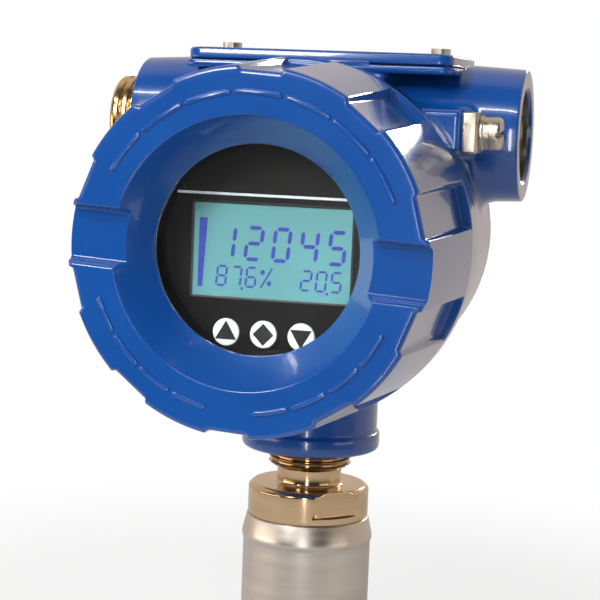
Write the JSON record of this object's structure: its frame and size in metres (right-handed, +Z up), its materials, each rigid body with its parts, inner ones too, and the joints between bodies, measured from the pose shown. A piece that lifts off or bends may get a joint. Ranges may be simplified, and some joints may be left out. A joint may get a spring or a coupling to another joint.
{
  "type": "pressure transmitter",
  "caption": "Field pressure transmitter: notched screw covers, windowed display with keys, side conduit hubs, ground terminal, threaded neck and process port.",
  "frame": {"origin": "centre of the process port's mouth, on the sensor body's flat foot", "axes": "+Z up the neck, -Y out of the display, +X towards the open conduit hub"},
  "size_m": [0.1212, 0.1313, 0.1758],
  "materials": {
    "blue_paint": "glossy paint on cast aluminium",
    "steel": "turned stainless steel",
    "glass": "clear polished",
    "rubber": "matt",
    "black_plate": "satin film",
    "lcd": "liquid crystal panel",
    "black_plastic": "moulded",
    "circuit_board": "solder mask",
    "potting": "cast resin in a cup",
    "brass": "plated",
    "aluminium": "turned",
    "key_white": "moulded"
  },
  "bodies": {
    "sensor": {"sensor_body": "steel", "process_diaphragm": "steel", "neck_fitting": "steel", "sensor_header": "steel", "neck_o_ring": "rubber"},
    "housing": {"housing": "blue_paint", "front_o_ring": "rubber", "rear_o_ring": "rubber", "face_plate": "black_plate", "lcd_panel": "lcd", "display_case": "black_plastic", "display_board": "circuit_board", "display_pillars": "brass", "main_board": "circuit_board", "electronics_module": "potting", "terminal_block": "black_plastic", "terminal_screws": "brass", "ground_clamp": "steel", "ground_washer": "steel", "split_washer": "steel", "top_plate": "blue_paint", "plate_pad": "rubber", "plate_screws": "steel", "neck_set_screw": "steel"},
    "front_cover": {"front_cover": "blue_paint", "window_glass": "glass", "window_gasket": "rubber", "window_retainer": "aluminium"},
    "rear_cover": {"rear_cover": "blue_paint"},
    "key_up": {"key_up": "key_white"},
    "key_set": {"key_set": "key_white"},
    "key_down": {"key_down": "key_white"},
    "conduit_plug": {"conduit_plug": "steel"},
    "ground_screw": {"ground_screw": "steel"}
  },
  "joints": [
    {"name": "housing_swivel", "type": "hinge", "parent": "sensor", "child": "housing", "pos_m": [0, 0, 0.067], "axis": [0, 0, 1], "range_deg": [-180, 180]},
    {"name": "front_cover_turn", "type": "hinge", "parent": "housing", "child": "front_cover", "pos_m": [0, -0.03, 0.122], "axis": [0, -1, 0], "continuous": true},
    {"name": "rear_cover_turn", "type": "hinge", "parent": "housing", "child": "rear_cover", "pos_m": [0, 0.04, 0.122], "axis": [0, 1, 0], "continuous": true},
    {"name": "conduit_plug_turn", "type": "hinge", "parent": "housing", "child": "conduit_plug", "pos_m": [-0.0563, 0.0125, 0.1521], "axis": [-1, 0, 0], "continuous": true},
    {"name": "ground_screw_turn", "type": "hinge", "parent": "housing", "child": "ground_screw", "pos_m": [0.0435, -0.0179, 0.1529], "axis": [1, 0, 0], "continuous": true},
    {"name": "key_up_press", "type": "slide", "parent": "housing", "child": "key_up", "axis": [0, 1, 0], "range_m": [0, 0.0008], "stiffness_N_per_m": 900, "springref_m": -0.0004},
    {"name": "key_set_press", "type": "slide", "parent": "housing", "child": "key_set", "axis": [0, 1, 0], "range_m": [0, 0.0008], "stiffness_N_per_m": 900, "springref_m": -0.0004},
    {"name": "key_down_press", "type": "slide", "parent": "housing", "child": "key_down", "axis": [0, 1, 0], "range_m": [0, 0.0008], "stiffness_N_per_m": 900, "springref_m": -0.0004}
  ]
}
